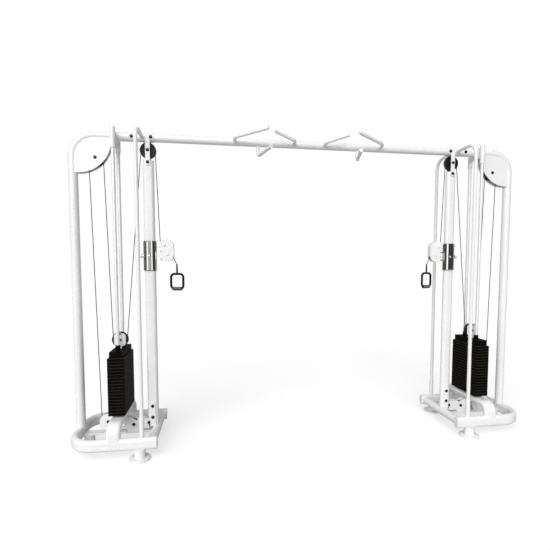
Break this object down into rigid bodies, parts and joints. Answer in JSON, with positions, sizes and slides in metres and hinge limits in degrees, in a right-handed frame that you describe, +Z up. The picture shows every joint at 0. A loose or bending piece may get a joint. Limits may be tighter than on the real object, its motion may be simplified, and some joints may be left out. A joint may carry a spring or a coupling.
{
  "type": "cable crossover machine",
  "caption": "Cable crossover machine: towers with weight stacks, pulleys and sliding cable carriages, joined by an overhead beam with pull-up handles.",
  "frame": {"origin": "on the floor, midway between the towers, in the plane of the cables", "axes": "+X along the overhead beam, -Y towards the user's side, +Z up"},
  "size_m": [3.544, 0.6866, 2.3629],
  "materials": {
    "white_frame": "glossy powder coat",
    "chrome_rod": "polished hard chrome",
    "chrome_sleeve": "polished chrome",
    "black_steel": "satin black powder coat",
    "black_bolt": "black oxide",
    "pin_steel": "brushed",
    "black_nylon": "moulded nylon",
    "black_plastic": "moulded",
    "white_plastic": "moulded",
    "black_rubber": "moulded rubber",
    "cable_sheath": "nylon sheath over steel rope",
    "webbing": "woven nylon"
  },
  "bodies": {
    "frame": {"base_loops": "white_frame", "column_tubes": "white_frame", "cross_beam": "white_frame", "base_cross_members": "white_frame", "stack_arches": "white_frame", "guard_hoops": "white_frame", "guide_rods": "chrome_rod", "rod_crowns": "white_frame", "uprights": "white_frame", "upright_straps": "white_frame", "corner_gussets": "white_frame", "base_pulley_plates": "white_frame", "stack_bumpers": "black_rubber", "tube_end_caps": "white_plastic", "levelling_feet": "white_frame", "frame_bolts": "black_bolt", "pull_up_bars": "white_frame", "resting_plates": "black_steel", "cable_fixed": "cable_sheath", "cable_stack_left": "cable_sheath", "cable_carriage_left": "cable_sheath", "cable_stack_right": "cable_sheath", "cable_carriage_right": "cable_sheath"},
    "stack_left": {"lifted_plates_left": "black_steel", "head_plate_left": "black_steel", "lift_stem_left": "white_frame"},
    "pin_left": {"selector_pin_left": "pin_steel"},
    "carriage_left": {"carriage_sleeve_left": "chrome_sleeve"},
    "stop_pin_left": {"pop_pin_left": "white_plastic"},
    "swivel_left": {"swivel_housing_left": "white_frame", "cable_tail_left": "cable_sheath"},
    "cable_end_left": {"handle_strap_left": "webbing"},
    "handle_left": {"hand_loop_left": "black_rubber"},
    "stack_pulley_left_wheel": {"stack_pulley_left": "black_nylon"},
    "top_pulley_left_wheel": {"top_pulley_left": "black_nylon"},
    "corner_pulley_left_wheel": {"corner_pulley_left": "black_nylon"},
    "base_outer_pulley_left_wheel": {"base_outer_pulley_left": "black_nylon"},
    "base_idler_pulley_left_wheel": {"base_idler_pulley_left": "black_nylon"},
    "base_inner_pulley_left_wheel": {"base_inner_pulley_left": "black_nylon"},
    "upper_carriage_pulley_left_wheel": {"upper_carriage_pulley_left": "black_nylon"},
    "lower_carriage_pulley_left_wheel": {"lower_carriage_pulley_left": "black_nylon"},
    "stack_right": {"lifted_plates_right": "black_steel", "head_plate_right": "black_steel", "lift_stem_right": "white_frame"},
    "pin_right": {"selector_pin_right": "pin_steel"},
    "carriage_right": {"carriage_sleeve_right": "chrome_sleeve"},
    "stop_pin_right": {"pop_pin_right": "white_plastic"},
    "swivel_right": {"swivel_housing_right": "white_frame", "cable_tail_right": "cable_sheath"},
    "cable_end_right": {"handle_strap_right": "webbing"},
    "handle_right": {"hand_loop_right": "black_rubber"},
    "stack_pulley_right_wheel": {"stack_pulley_right": "black_nylon"},
    "top_pulley_right_wheel": {"top_pulley_right": "black_nylon"},
    "corner_pulley_right_wheel": {"corner_pulley_right": "black_nylon"},
    "base_outer_pulley_right_wheel": {"base_outer_pulley_right": "black_nylon"},
    "base_idler_pulley_right_wheel": {"base_idler_pulley_right": "black_nylon"},
    "base_inner_pulley_right_wheel": {"base_inner_pulley_right": "black_nylon"},
    "upper_carriage_pulley_right_wheel": {"upper_carriage_pulley_right": "black_nylon"},
    "lower_carriage_pulley_right_wheel": {"lower_carriage_pulley_right": "black_nylon"}
  },
  "joints": [
    {"name": "stack_lift_left", "type": "slide", "parent": "frame", "child": "stack_left", "axis": [0, 0, 1], "range_m": [0, 0.5], "deforming": ["cable_stack_left"]},
    {"name": "selector_pin_pull_left", "type": "slide", "parent": "stack_left", "child": "pin_left", "axis": [-1, 0, 0], "range_m": [0, 0.06]},
    {"name": "carriage_slide_left", "type": "slide", "parent": "frame", "child": "carriage_left", "axis": [0, 0, 1], "range_m": [-0.9, 0.3], "deforming": ["cable_carriage_left"]},
    {"name": "stop_pin_pull_left", "type": "slide", "parent": "carriage_left", "child": "stop_pin_left", "axis": [-1, 0, 0], "range_m": [0, 0.012], "stiffness_N_per_m": 800, "springref_m": -0.004},
    {"name": "carriage_swivel_left", "type": "hinge", "parent": "carriage_left", "child": "swivel_left", "pos_m": [-1.139, 0, 1.438], "axis": [0, 0, 1], "range_deg": [-75, 75]},
    {"name": "handle_pull_left", "type": "slide", "parent": "swivel_left", "child": "cable_end_left", "axis": [0, 0, -1], "range_m": [0, 1], "deforming": ["cable_tail_left"]},
    {"name": "handle_swing_left", "type": "hinge", "parent": "cable_end_left", "child": "handle_left", "pos_m": [-1.02, 0, 1.308], "axis": [0, 1, 0], "range_deg": [-60, 60]},
    {"name": "top_pulley_left_spin", "type": "hinge", "parent": "frame", "child": "top_pulley_left_wheel", "pos_m": [-1.2144, 0, 2.207], "axis": [0, 1, 0], "range_deg": [-20, 1157]},
    {"name": "stack_pulley_left_spin", "type": "hinge", "parent": "stack_left", "child": "stack_pulley_left_wheel", "pos_m": [-1.444, 0, 0.806], "axis": [0, 1, 0], "range_deg": [-588, 20]},
    {"name": "lower_carriage_pulley_left_spin", "type": "hinge", "parent": "swivel_left", "child": "lower_carriage_pulley_left_wheel", "pos_m": [-1.088, 0, 1.447], "axis": [0, 1, 0], "range_deg": [-20, 1905]},
    {"name": "upper_carriage_pulley_left_spin", "type": "hinge", "parent": "swivel_left", "child": "upper_carriage_pulley_left_wheel", "pos_m": [-1.1086, 0, 1.516], "axis": [0, 1, 0], "range_deg": [-1905, 20]},
    {"name": "corner_pulley_left_spin", "type": "hinge", "parent": "frame", "child": "corner_pulley_left_wheel", "pos_m": [-1.58, 0, 2.14], "axis": [0, 1, 0], "range_deg": [-361, 1043]},
    {"name": "base_outer_pulley_left_spin", "type": "hinge", "parent": "frame", "child": "base_outer_pulley_left_wheel", "pos_m": [-1.54, 0, 0.185], "axis": [0, 1, 0], "range_deg": [-361, 1043]},
    {"name": "base_idler_pulley_left_spin", "type": "hinge", "parent": "frame", "child": "base_idler_pulley_left_wheel", "pos_m": [-1.357, 0, 0.153], "axis": [0, 1, 0], "range_deg": [-585, 1716]},
    {"name": "base_inner_pulley_left_spin", "type": "hinge", "parent": "frame", "child": "base_inner_pulley_left_wheel", "pos_m": [-1.2448, 0, 0.162], "axis": [0, 1, 0], "range_deg": [-585, 1716]},
    {"name": "stack_lift_right", "type": "slide", "parent": "frame", "child": "stack_right", "axis": [0, 0, 1], "range_m": [0, 0.5], "deforming": ["cable_stack_right"]},
    {"name": "selector_pin_pull_right", "type": "slide", "parent": "stack_right", "child": "pin_right", "axis": [1, 0, 0], "range_m": [0, 0.06]},
    {"name": "carriage_slide_right", "type": "slide", "parent": "frame", "child": "carriage_right", "axis": [0, 0, 1], "range_m": [-0.9, 0.3], "deforming": ["cable_carriage_right"]},
    {"name": "stop_pin_pull_right", "type": "slide", "parent": "carriage_right", "child": "stop_pin_right", "axis": [1, 0, 0], "range_m": [0, 0.012], "stiffness_N_per_m": 800, "springref_m": -0.004},
    {"name": "carriage_swivel_right", "type": "hinge", "parent": "carriage_right", "child": "swivel_right", "pos_m": [1.139, 0, 1.438], "axis": [0, 0, 1], "range_deg": [-75, 75]},
    {"name": "handle_pull_right", "type": "slide", "parent": "swivel_right", "child": "cable_end_right", "axis": [0, 0, -1], "range_m": [0, 1], "deforming": ["cable_tail_right"]},
    {"name": "handle_swing_right", "type": "hinge", "parent": "cable_end_right", "child": "handle_right", "pos_m": [1.02, 0, 1.308], "axis": [0, 1, 0], "range_deg": [-60, 60]},
    {"name": "top_pulley_right_spin", "type": "hinge", "parent": "frame", "child": "top_pulley_right_wheel", "pos_m": [1.2144, 0, 2.207], "axis": [0, -1, 0], "range_deg": [-20, 1157]},
    {"name": "stack_pulley_right_spin", "type": "hinge", "parent": "stack_right", "child": "stack_pulley_right_wheel", "pos_m": [1.444, 0, 0.806], "axis": [0, -1, 0], "range_deg": [-588, 20]},
    {"name": "lower_carriage_pulley_right_spin", "type": "hinge", "parent": "swivel_right", "child": "lower_carriage_pulley_right_wheel", "pos_m": [1.088, 0, 1.447], "axis": [0, -1, 0], "range_deg": [-20, 1905]},
    {"name": "upper_carriage_pulley_right_spin", "type": "hinge", "parent": "swivel_right", "child": "upper_carriage_pulley_right_wheel", "pos_m": [1.1086, 0, 1.516], "axis": [0, -1, 0], "range_deg": [-1905, 20]},
    {"name": "corner_pulley_right_spin", "type": "hinge", "parent": "frame", "child": "corner_pulley_right_wheel", "pos_m": [1.58, 0, 2.14], "axis": [0, -1, 0], "range_deg": [-361, 1043]},
    {"name": "base_outer_pulley_right_spin", "type": "hinge", "parent": "frame", "child": "base_outer_pulley_right_wheel", "pos_m": [1.54, 0, 0.185], "axis": [0, -1, 0], "range_deg": [-361, 1043]},
    {"name": "base_idler_pulley_right_spin", "type": "hinge", "parent": "frame", "child": "base_idler_pulley_right_wheel", "pos_m": [1.357, 0, 0.153], "axis": [0, -1, 0], "range_deg": [-585, 1716]},
    {"name": "base_inner_pulley_right_spin", "type": "hinge", "parent": "frame", "child": "base_inner_pulley_right_wheel", "pos_m": [1.2448, 0, 0.162], "axis": [0, -1, 0], "range_deg": [-585, 1716]}
  ],
  "couplings": [
    {"joint": "top_pulley_left_spin", "follows": "stack_lift_left", "rad_per_m": 39.682},
    {"joint": "stack_pulley_left_spin", "follows": "stack_lift_left", "rad_per_m": -19.841},
    {"joint": "lower_carriage_pulley_left_spin", "follows": "stack_lift_left", "rad_per_m": 65.79},
    {"joint": "upper_carriage_pulley_left_spin", "follows": "stack_lift_left", "rad_per_m": -65.79},
    {"joint": "corner_pulley_left_spin", "follows": "carriage_slide_left", "rad_per_m": -19.841},
    {"joint": "base_outer_pulley_left_spin", "follows": "carriage_slide_left", "rad_per_m": -19.841},
    {"joint": "base_idler_pulley_left_spin", "follows": "carriage_slide_left", "rad_per_m": -32.895},
    {"joint": "base_inner_pulley_left_spin", "follows": "carriage_slide_left", "rad_per_m": -32.895},
    {"joint": "handle_pull_left", "follows": "stack_lift_left", "ratio": 2},
    {"joint": "top_pulley_right_spin", "follows": "stack_lift_right", "rad_per_m": 39.682},
    {"joint": "stack_pulley_right_spin", "follows": "stack_lift_right", "rad_per_m": -19.841},
    {"joint": "lower_carriage_pulley_right_spin", "follows": "stack_lift_right", "rad_per_m": 65.79},
    {"joint": "upper_carriage_pulley_right_spin", "follows": "stack_lift_right", "rad_per_m": -65.79},
    {"joint": "corner_pulley_right_spin", "follows": "carriage_slide_right", "rad_per_m": -19.841},
    {"joint": "base_outer_pulley_right_spin", "follows": "carriage_slide_right", "rad_per_m": -19.841},
    {"joint": "base_idler_pulley_right_spin", "follows": "carriage_slide_right", "rad_per_m": -32.895},
    {"joint": "base_inner_pulley_right_spin", "follows": "carriage_slide_right", "rad_per_m": -32.895},
    {"joint": "handle_pull_right", "follows": "stack_lift_right", "ratio": 2}
  ]
}
